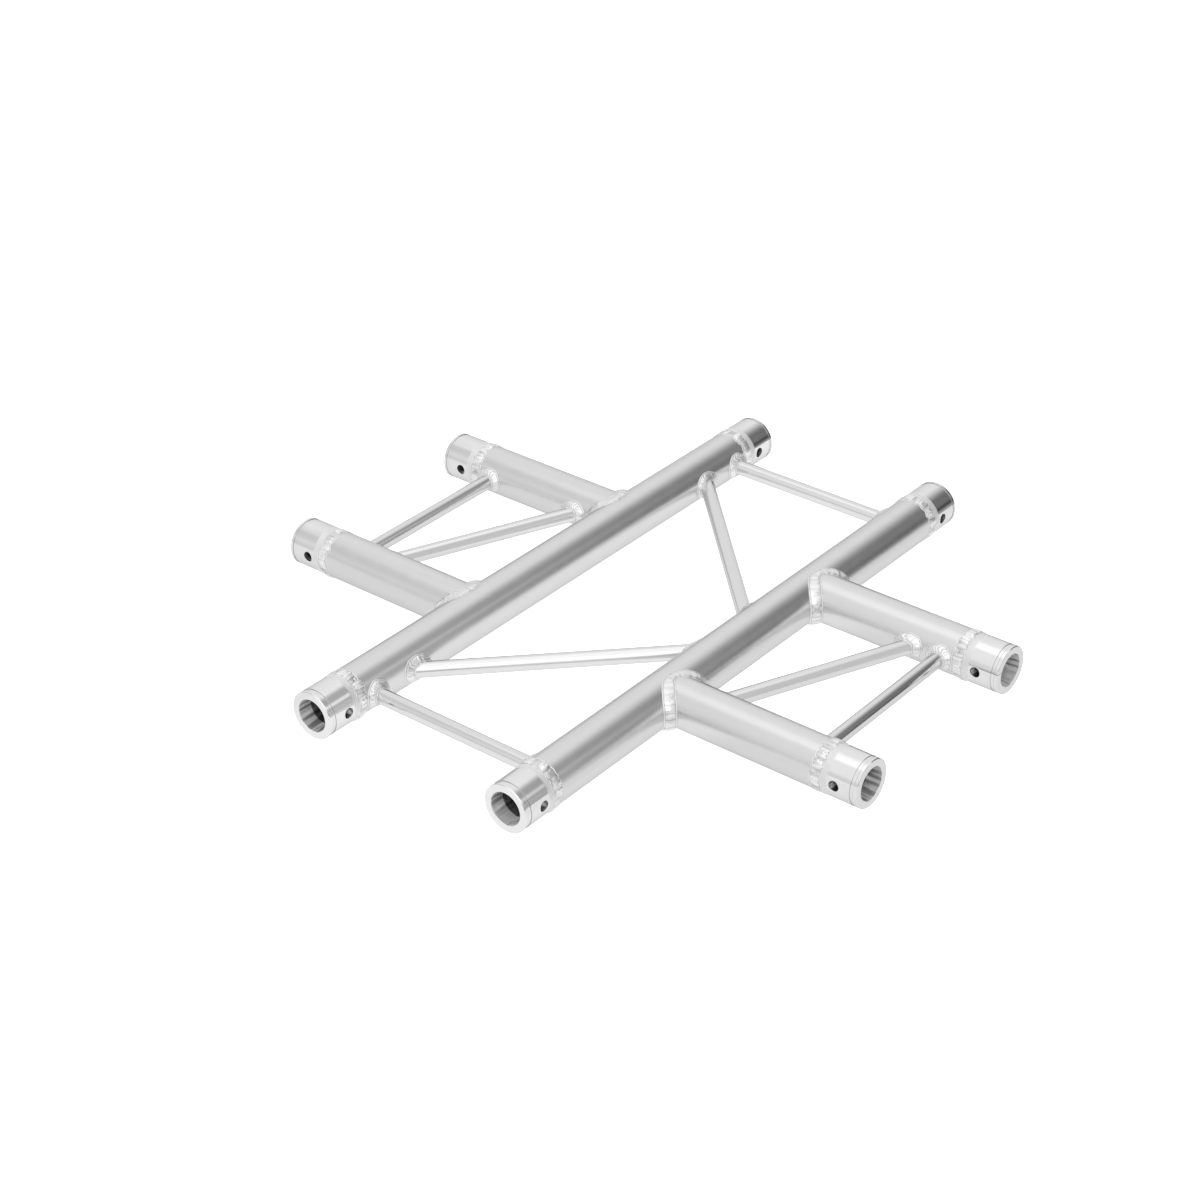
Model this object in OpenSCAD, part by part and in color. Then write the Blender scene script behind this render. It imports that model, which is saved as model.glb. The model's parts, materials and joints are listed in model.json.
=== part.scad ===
// Flat four-way cross section of ladder truss in welded aluminium tube.
// Two chords run straight through along X and two pairs of arms leave them along Y.
// Origin: centre of the cross, in the plane of every tube axis. +Z is up, sizes in millimetres.
// Front is -X, rear is +X, left is +Y, right is -Y.

/* [Overall layout] */
// Length from one end face to the opposite one, the same along X and Y
overall_l = 710; // [680:10:1000]
// Centre distance of the two chords, and of the two arms of a pair
spacing = 240; // [230:5:270]

/* [Chord and arm tubes] */
// Outside diameter of the chord and arm tubes
tube_d = 50; // [48:0.5:52]
// Wall thickness of the chord and arm tubes
tube_wall = 2; // [1.5:0.5:3]

/* [Braces] */
// Outside diameter of the brace tubes
brace_d = 16; // [12:1:20]
// Wall thickness of the brace tubes
brace_wall = 2; // [1:0.5:3]
// From an end face to the centre line of the square cross brace
cross_brace_inset = 66; // [62:1:72]
// Gap along a chord between the feet of a cross brace and of its diagonal
chord_foot_gap = 30; // [28:1:40]
// From the middle of the right chord to the foot of each main diagonal
apex_offset = 17; // [12:1:60]
// From the chord centre line to the inner foot of an arm diagonal
arm_foot_inner = 40; // [38:1:60]
// Gap along an arm between the feet of its cross brace and of its diagonal
arm_foot_gap = 24; // [22:1:30]

/* [End sockets] */
// Length of the thick socket body from the end face to its shoulder
socket_body_l = 45; // [43:1:50]
// Length of the spigot that the socket pushes into its tube
spigot_l = 25; // [10:1:40]
// Radial play of the spigot in the tube
spigot_play = 0.1; // [0.05:0.05:0.3]
// Chamfer on the outer rim of the end face
rim_chamfer = 0.7; // [0.2:0.1:1.5]
// Diameter of the cylindrical register just inside the mouth
register_d = 34; // [32:0.5:36]
// Length of the cylindrical register
register_l = 4; // [2:0.5:8]
// Chamfer where the register meets the end face
mouth_chamfer = 0.4; // [0.1:0.1:1]
// Diameter of the conical seat at its deep end
seat_d = 27.8; // [24:0.2:30]
// Depth of the conical seat below the end face
seat_depth = 37; // [34:1:42]
// Diameter of the relief bore behind the seat
relief_d = 36; // [32:1:38]
// Near edge of the turned groove, from the end face
groove_at = 4; // [2:0.5:10]
// Width of the turned groove
groove_w = 3.5; // [1:0.5:6]
// Depth of the turned groove
groove_depth = 0.5; // [0.2:0.1:1]
// Diameter of the cross hole for the locking pin
pin_hole_d = 10.8; // [8:0.2:14]
// From the end face to the axis of the cross hole
pin_hole_at = 25; // [20:1:32]

/* [Welds] */
// Root gap between a socket shoulder and its tube
root_gap = 2; // [1:0.5:4]
// Width of the cap of a girth weld
girth_cap_w = 10; // [7:0.5:12]
// Height of the cap of a girth weld above the tube
girth_cap_h = 1.3; // [0.5:0.1:2.5]
// Leg of a brace fillet along the main tube
foot_leg = 7; // [4:0.5:7.5]
// Leg of a brace fillet along the brace
shank_leg = 5.5; // [3:0.5:8]
// Leg of the saddle fillet, along the chord and along the arm
saddle_leg = 5; // [3:0.5:7]
// Width of the saddle bead over the top and bottom of the tubes
saddle_w = 11; // [8:0.5:14]
// Height of the saddle bead over the top and bottom of the tubes
saddle_crown_h = 1.3; // [0.5:0.1:2]

/* [Hidden] */
$fn = 96;
half_l = overall_l / 2;
half_sp = spacing / 2;
tube_r = tube_d / 2;
bore_r = tube_r - tube_wall;
brace_r = brace_d / 2;
pin_r = pin_hole_d / 2;
spigot_r = bore_r - spigot_play;
// How far each tube stops short of the end faces
tube_inset = socket_body_l + root_gap;
// The coped arm tips are cut blunt this far outside the chord centre line
arm_tip = 6;
// The saddle bead starts a little nearer to the centre line, to cover the blunt tips
saddle_start = 3;
// Two nested collars stand for the sloping face of a brace fillet: the low one's share
// of the shank leg, and the tall one's share of the foot leg
low_share = 0.4;
tall_share = 0.45;
// Cutting rods run past what they cut by this much
past = 1;

// Distances of the brace feet from the centre of the cross
cross_at = half_l - cross_brace_inset;
chord_foot_at = cross_at - chord_foot_gap;
arm_foot_in_at = half_sp + arm_foot_inner;
arm_foot_out_at = cross_at - arm_foot_gap;

// The two feet of each brace, on the axes of the tubes that carry it
front_cross = [[-cross_at, half_sp], [-cross_at, -half_sp]];
rear_cross = [[cross_at, half_sp], [cross_at, -half_sp]];
front_diagonal = [[-chord_foot_at, half_sp], [-apex_offset, -half_sp]];
rear_diagonal = [[chord_foot_at, half_sp], [apex_offset, -half_sp]];
left_cross = [[-half_sp, cross_at], [half_sp, cross_at]];
left_diagonal = [[-half_sp, arm_foot_out_at], [half_sp, arm_foot_in_at]];
right_cross = [[-half_sp, -cross_at], [half_sp, -cross_at]];
right_diagonal = [[-half_sp, -arm_foot_in_at], [half_sp, -arm_foot_out_at]];

tube_colour = [0.80, 0.81, 0.82];
socket_colour = [0.88, 0.88, 0.89];
brace_colour = [0.84, 0.85, 0.86];
weld_colour = [0.93, 0.93, 0.94];

// ---- Shapes shared by the sub-parts ----

// Turns a shape that stands on +Z so that it lies in the plane, pointing at an angle from +X
module lay(at, angle) {
    translate([at.x, at.y, 0])
        rotate([0, 0, angle])
            rotate([0, 90, 0])
                children();
}

// Solid rod that starts at a point of the plane and runs at an angle
module rod(at, angle, r, l) {
    lay(at, angle) cylinder(r = r, h = l);
}

// Full-length rod of a main tube: "x" is a chord and "y" is an arm, through a point of its axis
module main_rod(at, axis, r) {
    span = overall_l;
    if (axis == "x")
        rod([-span / 2, at.y], 0, r, span);
    else
        rod([at.x, sign(at.y) * half_sp], 90 * sign(at.y), r, span / 2);
}

// Straight tube, hollow along its whole length
module tube(at, angle, r, wall, l) {
    lay(at, angle) difference() {
        cylinder(r = r, h = l);
        translate([0, 0, -past]) cylinder(r = r - wall, h = l + 2 * past);
    }
}

function heading(from, to) = atan2(to.y - from.y, to.x - from.x);

// ---- Chords ----

// Continuous tube between the two sockets of its side; side is 1 on the left, -1 on the right
module chord(side) {
    l = overall_l - 2 * tube_inset;
    color(tube_colour) tube([-l / 2, side * half_sp], 0, tube_r, tube_wall, l);
}

// ---- Arms ----

// Tube with a saddle cut that sits on the side of its chord
module arm(x_side, y_side) {
    foot = [x_side * half_sp, y_side * (half_sp + arm_tip)];
    l = half_l - tube_inset - half_sp - arm_tip;
    color(tube_colour) difference() {
        tube(foot, 90 * y_side, tube_r, tube_wall, l);
        main_rod([0, y_side * half_sp], "x", tube_r);
    }
}

// Bead along the saddle joint: it follows the two upright 45 degree planes that hold the
// joint line, as a fillet at the sides and as a low cap over the top and bottom
module saddle_weld(x_side, y_side) {
    axis_y = y_side * half_sp;
    start = [x_side * half_sp, axis_y + y_side * saddle_start];
    tip = [x_side * half_sp, axis_y + y_side * arm_tip];
    reach = 2 * tube_r;
    crown = 2 * (tube_r + saddle_crown_h);
    color(weld_colour) difference() {
        intersection() {
            rod(start, 90 * y_side, tube_r + saddle_leg, reach);
            main_rod([0, axis_y], "x", tube_r + saddle_leg);
            for (lean = [-45, 45])
                translate([start.x, start.y, 0]) rotate([0, 0, 90 * y_side + lean])
                    translate([0, -saddle_w / 2, -crown / 2])
                        cube([reach, saddle_w, crown]);
        }
        main_rod([0, axis_y], "x", tube_r);
        rod(tip, 90 * y_side, tube_r, reach);
    }
}

// ---- Braces ----

// Small tube whose two ends are coped to the main tubes that carry them
module brace(feet, axis) {
    color(brace_colour) difference() {
        tube(feet[0], heading(feet[0], feet[1]), brace_r, brace_wall, norm(feet[1] - feet[0]));
        main_rod(feet[0], axis, tube_r);
        main_rod(feet[1], axis, tube_r);
    }
}

// Fillet around one end of a brace; which is 0 or 1, the foot that carries it
module brace_weld(feet, axis, which) {
    foot = feet[which];
    angle = heading(foot, feet[1 - which]);
    reach = 2.5 * tube_r;
    color(weld_colour) difference() {
        union() {
            intersection() {
                rod(foot, angle, brace_r + foot_leg, reach);
                main_rod(foot, axis, tube_r + low_share * shank_leg);
            }
            intersection() {
                rod(foot, angle, brace_r + tall_share * foot_leg, reach);
                main_rod(foot, axis, tube_r + shank_leg);
            }
        }
        main_rod(foot, axis, tube_r);
        rod(foot, angle, brace_r, reach);
    }
}

// ---- End sockets ----

// Turned socket: end face at z = 0, body and spigot towards -z, cross hole along y
module socket(at, angle) {
    register_r = register_d / 2;
    rim_r = tube_r - rim_chamfer;
    groove_r = tube_r - groove_depth;
    relief_r = relief_d / 2;
    total_l = socket_body_l + spigot_l;
    // The relief opens from the seat at 45 degrees
    relief_at = seat_depth + relief_r - seat_d / 2;
    color(socket_colour) lay(at, angle) difference() {
        rotate_extrude() polygon([
            [register_r + mouth_chamfer, 0],
            [rim_r, 0],
            [tube_r, -rim_chamfer],
            [tube_r, -groove_at],
            [groove_r, -groove_at],
            [groove_r, -groove_at - groove_w],
            [tube_r, -groove_at - groove_w],
            [tube_r, -socket_body_l],
            [spigot_r, -socket_body_l],
            [spigot_r, -total_l],
            [relief_r, -total_l],
            [relief_r, -relief_at],
            [seat_d / 2, -seat_depth],
            [register_r, -mouth_chamfer - register_l],
            [register_r, -mouth_chamfer]
        ]);
        translate([0, 0, -pin_hole_at]) rotate([90, 0, 0])
            cylinder(r = pin_r, h = 2 * (tube_r + past), center = true);
    }
}

// Weld ring that fills the root gap and caps the joint with a low arc
module girth_weld(at, angle) {
    steps = 8;
    half_w = girth_cap_w / 2;
    middle = -socket_body_l - root_gap / 2;
    arc_r = (half_w * half_w + girth_cap_h * girth_cap_h) / (2 * girth_cap_h);
    arc_half = asin(half_w / arc_r);
    cap = [for (i = [0 : steps])
        let (a = arc_half * (2 * i / steps - 1))
        [tube_r + girth_cap_h - arc_r * (1 - cos(a)), middle + arc_r * sin(a)]];
    root = [
        [tube_r, middle + root_gap / 2],
        [bore_r, middle + root_gap / 2],
        [bore_r, middle - root_gap / 2],
        [tube_r, middle - root_gap / 2]
    ];
    color(weld_colour) lay(at, angle) rotate_extrude() polygon(concat(cap, root));
}

// ---- Named sub-parts ----

module left_chord() { chord(1); }
module right_chord() { chord(-1); }

module left_front_arm() { arm(-1, 1); }
module left_rear_arm() { arm(1, 1); }
module right_front_arm() { arm(-1, -1); }
module right_rear_arm() { arm(1, -1); }

module front_cross_brace() { brace(front_cross, "x"); }
module front_diagonal_brace() { brace(front_diagonal, "x"); }
module rear_cross_brace() { brace(rear_cross, "x"); }
module rear_diagonal_brace() { brace(rear_diagonal, "x"); }
module left_cross_brace() { brace(left_cross, "y"); }
module left_diagonal_brace() { brace(left_diagonal, "y"); }
module right_cross_brace() { brace(right_cross, "y"); }
module right_diagonal_brace() { brace(right_diagonal, "y"); }

module left_chord_front_socket() { socket([-half_l, half_sp], 180); }
module left_chord_rear_socket() { socket([half_l, half_sp], 0); }
module right_chord_front_socket() { socket([-half_l, -half_sp], 180); }
module right_chord_rear_socket() { socket([half_l, -half_sp], 0); }
module left_front_arm_socket() { socket([-half_sp, half_l], 90); }
module left_rear_arm_socket() { socket([half_sp, half_l], 90); }
module right_front_arm_socket() { socket([-half_sp, -half_l], -90); }
module right_rear_arm_socket() { socket([half_sp, -half_l], -90); }

module left_chord_front_girth_weld() { girth_weld([-half_l, half_sp], 180); }
module left_chord_rear_girth_weld() { girth_weld([half_l, half_sp], 0); }
module right_chord_front_girth_weld() { girth_weld([-half_l, -half_sp], 180); }
module right_chord_rear_girth_weld() { girth_weld([half_l, -half_sp], 0); }
module left_front_arm_girth_weld() { girth_weld([-half_sp, half_l], 90); }
module left_rear_arm_girth_weld() { girth_weld([half_sp, half_l], 90); }
module right_front_arm_girth_weld() { girth_weld([-half_sp, -half_l], -90); }
module right_rear_arm_girth_weld() { girth_weld([half_sp, -half_l], -90); }

module left_front_saddle_weld() { saddle_weld(-1, 1); }
module left_rear_saddle_weld() { saddle_weld(1, 1); }
module right_front_saddle_weld() { saddle_weld(-1, -1); }
module right_rear_saddle_weld() { saddle_weld(1, -1); }

module front_cross_brace_left_weld() { brace_weld(front_cross, "x", 0); }
module front_cross_brace_right_weld() { brace_weld(front_cross, "x", 1); }
module front_diagonal_brace_left_weld() { brace_weld(front_diagonal, "x", 0); }
module front_diagonal_brace_right_weld() { brace_weld(front_diagonal, "x", 1); }
module rear_cross_brace_left_weld() { brace_weld(rear_cross, "x", 0); }
module rear_cross_brace_right_weld() { brace_weld(rear_cross, "x", 1); }
module rear_diagonal_brace_left_weld() { brace_weld(rear_diagonal, "x", 0); }
module rear_diagonal_brace_right_weld() { brace_weld(rear_diagonal, "x", 1); }
module left_cross_brace_front_weld() { brace_weld(left_cross, "y", 0); }
module left_cross_brace_rear_weld() { brace_weld(left_cross, "y", 1); }
module left_diagonal_brace_front_weld() { brace_weld(left_diagonal, "y", 0); }
module left_diagonal_brace_rear_weld() { brace_weld(left_diagonal, "y", 1); }
module right_cross_brace_front_weld() { brace_weld(right_cross, "y", 0); }
module right_cross_brace_rear_weld() { brace_weld(right_cross, "y", 1); }
module right_diagonal_brace_front_weld() { brace_weld(right_diagonal, "y", 0); }
module right_diagonal_brace_rear_weld() { brace_weld(right_diagonal, "y", 1); }

// ---- What is drawn ----

left_chord();
right_chord();
left_front_arm();
left_rear_arm();
right_front_arm();
right_rear_arm();
front_cross_brace();
front_diagonal_brace();
rear_cross_brace();
rear_diagonal_brace();
left_cross_brace();
left_diagonal_brace();
right_cross_brace();
right_diagonal_brace();
left_chord_front_socket();
left_chord_rear_socket();
right_chord_front_socket();
right_chord_rear_socket();
left_front_arm_socket();
left_rear_arm_socket();
right_front_arm_socket();
right_rear_arm_socket();
left_chord_front_girth_weld();
left_chord_rear_girth_weld();
right_chord_front_girth_weld();
right_chord_rear_girth_weld();
left_front_arm_girth_weld();
left_rear_arm_girth_weld();
right_front_arm_girth_weld();
right_rear_arm_girth_weld();
left_front_saddle_weld();
left_rear_saddle_weld();
right_front_saddle_weld();
right_rear_saddle_weld();
front_cross_brace_left_weld();
front_cross_brace_right_weld();
front_diagonal_brace_left_weld();
front_diagonal_brace_right_weld();
rear_cross_brace_left_weld();
rear_cross_brace_right_weld();
rear_diagonal_brace_left_weld();
rear_diagonal_brace_right_weld();
left_cross_brace_front_weld();
left_cross_brace_rear_weld();
left_diagonal_brace_front_weld();
left_diagonal_brace_rear_weld();
right_cross_brace_front_weld();
right_cross_brace_rear_weld();
right_diagonal_brace_front_weld();
right_diagonal_brace_rear_weld();
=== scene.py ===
"""Lighting truss section: flat four-way cross of ladder truss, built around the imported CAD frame.

Each CAD node is replaced by a finer piece of the same size, placed where the frame says. Lengths are in
metres unless a comment says millimetres. The local Z of a tube or socket runs along its axis.
"""

import json
import math

import bmesh
import bpy
import numpy as np
from mathutils import Matrix, Vector


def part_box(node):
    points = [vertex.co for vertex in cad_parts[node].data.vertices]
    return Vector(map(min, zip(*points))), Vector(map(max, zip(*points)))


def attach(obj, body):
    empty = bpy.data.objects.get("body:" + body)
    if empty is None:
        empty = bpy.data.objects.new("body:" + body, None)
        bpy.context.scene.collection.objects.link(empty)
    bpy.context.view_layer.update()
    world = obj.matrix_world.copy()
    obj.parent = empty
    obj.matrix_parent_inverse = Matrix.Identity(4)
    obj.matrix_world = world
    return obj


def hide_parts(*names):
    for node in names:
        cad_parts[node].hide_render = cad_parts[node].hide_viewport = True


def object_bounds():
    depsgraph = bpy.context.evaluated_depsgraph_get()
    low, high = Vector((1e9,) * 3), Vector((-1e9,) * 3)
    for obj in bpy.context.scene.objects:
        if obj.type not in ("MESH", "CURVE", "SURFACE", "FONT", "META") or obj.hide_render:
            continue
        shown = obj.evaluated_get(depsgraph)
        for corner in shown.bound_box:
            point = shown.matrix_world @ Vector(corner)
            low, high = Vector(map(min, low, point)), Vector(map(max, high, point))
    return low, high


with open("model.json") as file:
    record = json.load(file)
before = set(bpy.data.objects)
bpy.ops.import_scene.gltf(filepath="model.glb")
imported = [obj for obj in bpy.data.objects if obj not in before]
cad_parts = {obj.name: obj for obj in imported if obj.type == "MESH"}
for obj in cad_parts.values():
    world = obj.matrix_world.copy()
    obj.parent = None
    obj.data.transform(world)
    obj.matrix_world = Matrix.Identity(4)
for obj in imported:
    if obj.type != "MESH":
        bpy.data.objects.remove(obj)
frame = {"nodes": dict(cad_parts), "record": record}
cad_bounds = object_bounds()
scene = bpy.context.scene
MOUNTS = {mount["name"]: mount for mount in frame["record"]["mounts"]}
NODES = sorted(frame["nodes"])
MM = 0.001
UP = np.array([0.0, 0.0, 1.0])

# ---------------------------------------------------------------- places read from the frame


def corners(node):
    low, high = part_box(node)
    return np.array(low), np.array(high)


def half_height(node):
    low, high = corners(node)
    return (high[2] - low[2]) / 2


def mount_place(name):
    """Position and axis of a mount."""
    mount = MOUNTS[name]
    return np.array(mount["pos_m"], float), np.array(mount["axis"], float)


def end_of(stem):
    """Centre of a socket's end face, its outward axis, and the direction of its pin hole."""
    centre, axis = mount_place(stem + "_end_face")
    centre[2] = 0.0
    return centre, axis, mount_place(stem + "_pin_hole_outer")[1]


def chord_line(tube):
    """Centre line of a chord: its middle point, direction and half length."""
    low, high = corners(tube)
    return dict(point=(low + high) / 2, axis=np.array([1.0, 0.0, 0.0]), half=(high[0] - low[0]) / 2)


def arm_line(stem):
    """Centre line of an arm, from the centre line of the chord that carries it."""
    centre, axis, _ = ENDS[stem]
    host = ("left" if axis[1] > 0 else "right") + "_chord"
    low, high = corners(stem)
    outer = high[1] if axis[1] > 0 else low[1]
    chord_y = TUBES[host]["point"][1]
    return dict(point=np.array([centre[0], chord_y, 0.0]), axis=axis, host=host, length=abs(outer - chord_y))


def brace_line(node, crown=0.93):
    """Point and direction of a brace's centre line, fitted to the points near its top and bottom."""
    points = np.array([vertex.co for vertex in frame["nodes"][node].data.vertices], float)
    flat = points[np.abs(points[:, 2]) > crown * BRACE_R][:, :2]
    centre = flat.mean(0)
    direction = np.linalg.svd(flat - centre)[2][0]
    return np.array([*centre, 0.0]), np.array([*direction, 0.0])


def brace_feet(node):
    """The two feet of a brace, in the order of its welds: name, tube that carries it, and point."""
    point, direction = brace_line(node)
    on_chords = node.startswith(("front", "rear"))
    across = 1 if on_chords else 0
    feet = []
    for name in ("left", "right") if on_chords else ("front", "rear"):
        host = f"{name}_chord" if on_chords else f"{node.split('_')[0]}_{name}_arm"
        reach = (TUBES[host]["point"][across] - point[across]) / direction[across]
        feet.append((name, host, point + reach * direction))
    return feet


SOCKETS = [node.removesuffix("_socket") for node in NODES if node.endswith("_socket")]
ENDS = {stem: end_of(stem) for stem in SOCKETS}
ARMS = [stem for stem in SOCKETS if stem.endswith("_arm")]
TUBE_R = half_height("left_chord")
BRACE_R = half_height("left_cross_brace")
TUBES = {tube: chord_line(tube) for tube in ("left_chord", "right_chord")}
TUBES.update({arm: arm_line(arm) for arm in ARMS})
LOWEST, HIGHEST = cad_bounds[0][2], cad_bounds[1][2]
WALL = 2.0 * MM  # of tubes and braces alike

# ---------------------------------------------------------------- sizes of a socket, in mm

first_centre, first_axis, _ = ENDS[SOCKETS[0]]
first_hole, _ = mount_place(SOCKETS[0] + "_pin_hole_outer")
OUTER_R = TUBE_R / MM
BORE_R = MOUNTS[SOCKETS[0] + "_socket_bore"]["dims"]["r_mm"]
HOLE_R = MOUNTS[SOCKETS[0] + "_pin_hole_outer"]["dims"]["r_mm"]
HOLE_AT = float((first_centre - first_hole) @ first_axis) / MM
BODY_L = 45.0
RIM_CHAMFER, MOUTH_CHAMFER = 0.7, 0.4
GROOVE_FROM, GROOVE_TO, GROOVE_DEPTH = 4.0, 7.5, 0.5
REGISTER_END, SEAT_END, SEAT_END_R = 4.4, 37.0, 13.9
RELIEF_FROM, RELIEF_R = 41.1, 18.0
SPIGOT_END, SPIGOT_INSET = 70.0, 2.1

# ---------------------------------------------------------------- mesh helpers


def add_piece(node, points, faces, material, place=None, attributes=None):
    """Smooth mesh that stands for a CAD node of the same name."""
    mesh = bpy.data.meshes.new(node)
    mesh.from_pydata(np.asarray(points, float).tolist(), [], faces)
    for key, values in (attributes or {}).items():
        layer = mesh.attributes.new(key, "FLOAT", "POINT")
        layer.data.foreach_set("value", np.asarray(values, np.float32))
    work = bmesh.new()
    work.from_mesh(mesh)
    bmesh.ops.recalc_face_normals(work, faces=work.faces)
    work.to_mesh(mesh)
    work.free()
    mesh.polygons.foreach_set("use_smooth", [True] * len(mesh.polygons))
    mesh.update()
    piece = bpy.data.objects.new(node, mesh)
    scene.collection.objects.link(piece)
    if place is not None:
        piece.matrix_world = place
    mesh.materials.append(material)
    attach(piece, "root")
    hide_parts(node)
    return piece


def placement(origin, z_axis, y_axis):
    """Matrix with the given origin, local Z and local Y."""
    matrix = np.eye(4)
    matrix[:3] = np.stack([np.cross(y_axis, z_axis), y_axis, z_axis, origin], 1)
    return Matrix(matrix.tolist())


def unit(vectors):
    return vectors / np.maximum(np.linalg.norm(vectors, axis=-1, keepdims=True), 1e-12)


def gap(a, b):
    return np.linalg.norm(b - a, axis=-1)


def smooth(low, high, value):
    """0 below low, 1 above high, smooth between."""
    t = np.clip((value - low) / (high - low), 0, 1)
    return t * t * (3 - 2 * t)


def hump(value, centre, width):
    return np.exp(-(((value - centre) / width) ** 2))


def ring_round(axis, theta):
    """Unit vectors square to a level axis, at angles from its level side towards UP."""
    return np.cos(theta)[:, None] * np.cross(UP, axis) + np.sin(theta)[:, None] * UP


def ring_faces(rows, columns, skip=()):
    """Quads of a grid that closes on itself both ways, without the skipped cells."""
    faces = []
    for i in range(rows):
        k = (i + 1) % rows
        for j in range(columns):
            if (i, j) not in skip:
                m = (j + 1) % columns
                faces.append((i * columns + j, i * columns + m, k * columns + m, k * columns + j))
    return faces


def rounded(points, radii, steps=4, guard=0.15, guard_share=0.3, reach_share=0.45):
    """Closed profile in mm, its corners made arcs, with a guard point on the straight beside each arc."""
    points = [np.array(p, float) for p in points]
    profile = []
    for i, corner in enumerate(points):
        before, after = points[i - 1], points[(i + 1) % len(points)]
        back, ahead = unit(before - corner), unit(after - corner)
        half = math.acos(max(-1.0, min(1.0, float(back @ ahead)))) / 2
        straight = half > 1.56
        if radii[i] <= 0 or straight:
            profile.append(corner)
            continue
        room = [gap(before, corner), gap(after, corner)]
        reach = min(radii[i] / math.tan(half), reach_share * room[0], reach_share * room[1])
        radius = reach * math.tan(half)
        centre = corner + unit(back + ahead) * (radius / math.sin(half))
        start, stop = corner + back * reach, corner + ahead * reach
        profile.append(start + back * min(guard, guard_share * room[0]))
        for w in np.linspace(0, 1, steps + 1):
            profile.append(centre + unit((1 - w) * (start - centre) + w * (stop - centre)) * radius)
        profile.append(stop + ahead * min(guard, guard_share * room[1]))
    return profile


# ---------------------------------------------------------------- shader node helpers


def add(tree, kind, inputs=None, **settings):
    """New node, its inputs linked where the value is another node's output and set where it isn't."""
    made = tree.nodes.new(kind)
    for key, value in settings.items():
        setattr(made, key, value)
    for key, value in (inputs or {}).items():
        if isinstance(value, bpy.types.NodeSocket):
            tree.links.new(value, made.inputs[key])
        else:
            made.inputs[key].default_value = value
    return made


def calc(tree, operation, *values):
    return add(tree, "ShaderNodeMath", dict(enumerate(values)), operation=operation).outputs[0]


def plus(tree, first, *others):
    for value in others:
        first = calc(tree, "ADD", first, value)
    return first


def times(tree, first, *others):
    for value in others:
        first = calc(tree, "MULTIPLY", first, value)
    return first


def size_of(tree, value):
    return calc(tree, "ABSOLUTE", value)


def off_by(tree, value, centre):
    return size_of(tree, calc(tree, "SUBTRACT", value, centre))


def remap(tree, value, low, high, to_low=0.0, to_high=1.0, kind="SMOOTHSTEP"):
    """to_low at low, to_high at high, smooth between and level beyond."""
    inputs = {"Value": value, "From Min": low, "From Max": high, "To Min": to_low, "To Max": to_high}
    return add(tree, "ShaderNodeMapRange", inputs, interpolation_type=kind).outputs[0]


def mix(tree, factor, a, b):
    """a where factor is 0 and b where it is 1, for plain numbers."""
    return remap(tree, factor, 0.0, 1.0, a, b, "LINEAR")


def spread(tree, factor, middle, reach):
    """The middle plus or minus the reach."""
    return mix(tree, factor, middle - reach, middle + reach)


def peak(tree, value, centre, width):
    """1 at the centre, 0 beyond the width on either side."""
    return remap(tree, off_by(tree, value, centre), width, 0.0)


def angle(tree, up, out):
    """Degrees above the direction out."""
    return times(tree, calc(tree, "ARCTAN2", up, out), 180 / math.pi)


def grey(tree, value):
    return add(tree, "ShaderNodeCombineColor", {0: value, 1: value, 2: value}).outputs[0]


def noise(tree, vector, scale=1.0, detail=2.0, roughness=0.5):
    inputs = {"Vector": vector, "Scale": scale, "Detail": detail, "Roughness": roughness}
    return add(tree, "ShaderNodeTexNoise", inputs).outputs["Fac"]


def vector_math(tree, operation, a, b, output="Vector"):
    return add(tree, "ShaderNodeVectorMath", {0: a, 1: b}, operation=operation).outputs[output]


def dot(tree, vector, direction):
    return vector_math(tree, "DOT_PRODUCT", vector, direction, "Value")


def stretched(tree, vector, across, along):
    """Coordinates scaled to make streaks: across in X and Y, along in Z."""
    return vector_math(tree, "MULTIPLY", vector, (across, across, along))


def own_place(tree):
    """Coordinates in the object's own axes, in metres."""
    return add(tree, "ShaderNodeTexCoord").outputs["Object"]


def parts(tree, vector):
    return add(tree, "ShaderNodeSeparateXYZ", {0: vector}).outputs[:]


def attribute(tree, name, kind="GEOMETRY"):
    return add(tree, "ShaderNodeAttribute", attribute_name=name, attribute_type=kind).outputs["Fac"]


def bump(tree, height, strength, distance):
    inputs = {"Height": height, "Strength": strength, "Distance": distance}
    return add(tree, "ShaderNodeBump", inputs).outputs[0]


def round_z(tree):
    """Tangent that runs round the local Z axis."""
    return add(tree, "ShaderNodeTangent", direction_type="RADIAL", axis="Z").outputs[0]


def camera_ray(tree):
    return add(tree, "ShaderNodeLightPath").outputs["Is Camera Ray"]


def empty_tree(owner):
    owner.use_nodes = True
    owner.node_tree.nodes.clear()
    return owner.node_tree


# ---------------------------------------------------------------- materials

EDGE_TINT = (0.72, 0.72, 0.72, 1)


def metal(name, recipe, **settings):
    """Bare aluminium. The recipe builds its nodes and gives the inputs of the shader."""
    material = bpy.data.materials.new(name)
    tree = empty_tree(material)
    inputs = {"Metallic": 1.0, "Specular Tint": EDGE_TINT, **recipe(tree, **settings)}
    shader = add(tree, "ShaderNodeBsdfPrincipled", inputs)
    add(tree, "ShaderNodeOutputMaterial", {"Surface": shader.outputs[0]})
    return material


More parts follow.
